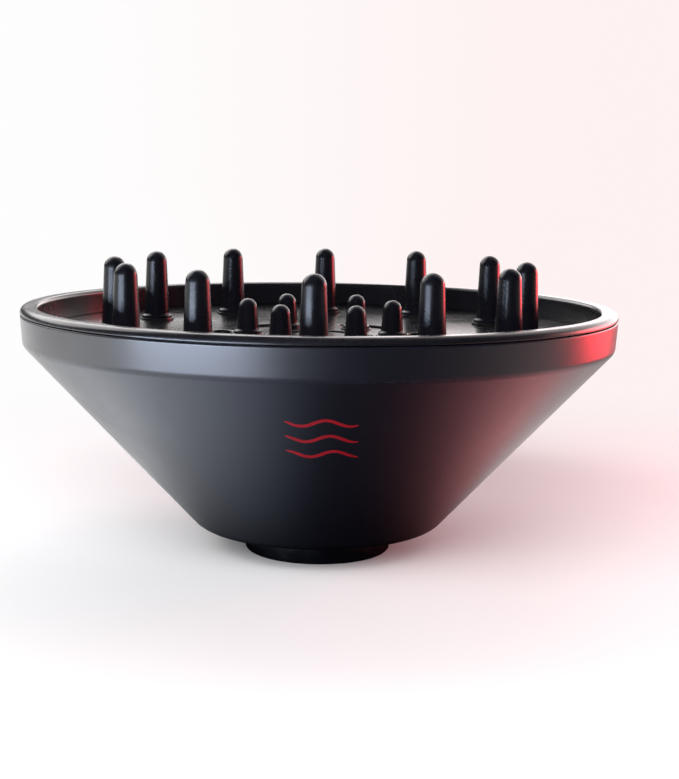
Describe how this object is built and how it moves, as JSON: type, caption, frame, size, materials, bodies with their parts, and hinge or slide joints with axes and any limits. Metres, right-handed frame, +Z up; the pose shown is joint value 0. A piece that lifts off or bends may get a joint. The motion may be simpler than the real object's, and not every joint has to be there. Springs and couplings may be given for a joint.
{
  "type": "hair dryer diffuser attachment",
  "caption": "Wide black bowl diffuser for a hair dryer: a flared bowl with a rounded rim, a recessed plate of upright fingers and a short swivelling neck.",
  "frame": {"origin": "bottom centre of the neck, on the surface that the diffuser stands on", "axes": "+Z up along the middle of the neck and the bowl; -Y towards an outer finger at the front"},
  "size_m": [0.18, 0.18, 0.09],
  "materials": {
    "bowl_satin": "soft satin black",
    "rim_satin": "soft satin black, slightly worn on top",
    "plate_satin_gloss": "smooth half-gloss black",
    "finger_gloss": "glossy black",
    "baffle_matte": "plain matt black",
    "screw_steel": "zinc-plated",
    "neck_gloss": "glossy black",
    "sleeve_silicone": "dark grey silicone",
    "ring_steel": "spring steel"
  },
  "bodies": {
    "collar": {"neck_collar": "neck_gloss", "grip_sleeve": "sleeve_silicone", "snap_ring": "ring_steel"},
    "bowl": {"bowl_shell": "bowl_satin", "rim_ring": "rim_satin", "finger_plate": "plate_satin_gloss", "outer_finger_01": "finger_gloss", "outer_finger_02": "finger_gloss", "outer_finger_03": "finger_gloss", "outer_finger_04": "finger_gloss", "outer_finger_05": "finger_gloss", "outer_finger_06": "finger_gloss", "outer_finger_07": "finger_gloss", "outer_finger_08": "finger_gloss", "outer_finger_09": "finger_gloss", "outer_finger_10": "finger_gloss", "outer_finger_11": "finger_gloss", "outer_finger_12": "finger_gloss", "inner_finger_1": "finger_gloss", "inner_finger_2": "finger_gloss", "inner_finger_3": "finger_gloss", "inner_finger_4": "finger_gloss", "inner_finger_5": "finger_gloss", "inner_finger_6": "finger_gloss", "air_baffle": "baffle_matte", "baffle_screws": "screw_steel"}
  },
  "joints": [
    {"name": "collar_swivel", "type": "hinge", "parent": "collar", "child": "bowl", "pos_m": [0, 0, 0.016], "axis": [0, 0, 1], "continuous": true}
  ]
}
